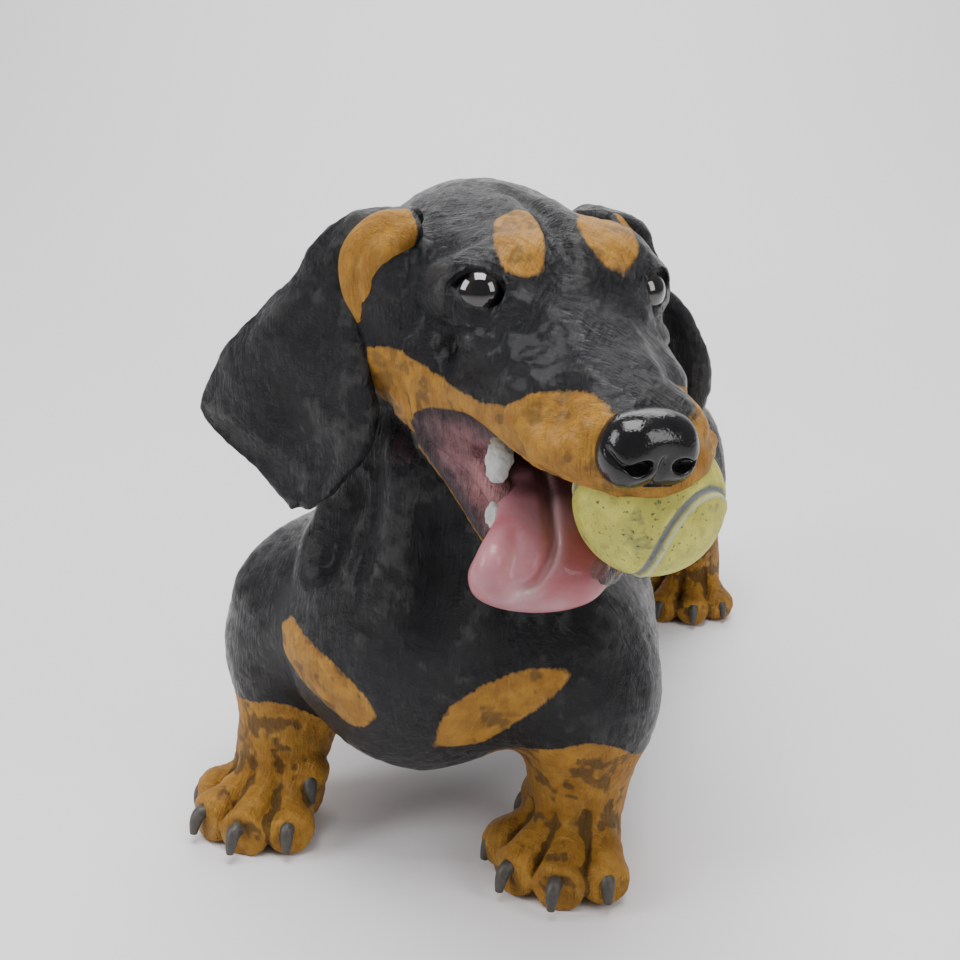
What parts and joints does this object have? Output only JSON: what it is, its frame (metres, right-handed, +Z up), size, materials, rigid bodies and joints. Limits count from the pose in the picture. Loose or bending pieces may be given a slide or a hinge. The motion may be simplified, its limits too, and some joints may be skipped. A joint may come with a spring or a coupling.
{
  "type": "ceramic dog figurine",
  "caption": "Standing long-bodied hound figure in painted ceramic, head turned to its left, with a ball held in its open mouth and its tongue hanging out.",
  "frame": {"origin": "middle of the figure's bounding box, on the ground its four paws stand on", "axes": "+Z up; the dog stands along Y and faces -Y, so its left side is towards +X; its head is turned towards +X"},
  "size_m": [0.3164, 0.6684, 0.3755],
  "materials": {
    "black_glaze": "satin",
    "tan_stain": "matte",
    "gloss_black": "gloss",
    "tongue_pink": "satin",
    "tooth_white": "satin",
    "claw_grey": "satin",
    "ball_yellow": "matte"
  },
  "bodies": {
    "root": {"trunk_shell": "black_glaze", "head_shell": "black_glaze", "right_ear": "black_glaze", "left_ear": "black_glaze", "tail": "black_glaze", "lower_jaw": "tan_stain", "right_front_leg": "tan_stain", "left_front_leg": "tan_stain", "right_hind_leg": "tan_stain", "left_hind_leg": "tan_stain", "tongue": "tongue_pink", "nose_pad": "gloss_black", "right_eye": "gloss_black", "left_eye": "gloss_black", "right_upper_cheek_tooth": "tooth_white", "right_lower_cheek_tooth": "tooth_white", "right_lower_canine": "tooth_white", "left_upper_cheek_tooth": "tooth_white", "left_lower_cheek_tooth": "tooth_white", "left_lower_canine": "tooth_white", "ball": "ball_yellow", "right_front_claw_1": "claw_grey", "right_front_claw_2": "claw_grey", "right_front_claw_3": "claw_grey", "right_front_claw_4": "claw_grey", "right_front_dewclaw": "claw_grey", "left_front_claw_1": "claw_grey", "left_front_claw_2": "claw_grey", "left_front_claw_3": "claw_grey", "left_front_claw_4": "claw_grey", "left_front_dewclaw": "claw_grey", "right_hind_claw_1": "claw_grey", "right_hind_claw_2": "claw_grey", "right_hind_claw_3": "claw_grey", "right_hind_claw_4": "claw_grey", "left_hind_claw_1": "claw_grey", "left_hind_claw_2": "claw_grey", "left_hind_claw_3": "claw_grey", "left_hind_claw_4": "claw_grey"}
  },
  "joints": []
}
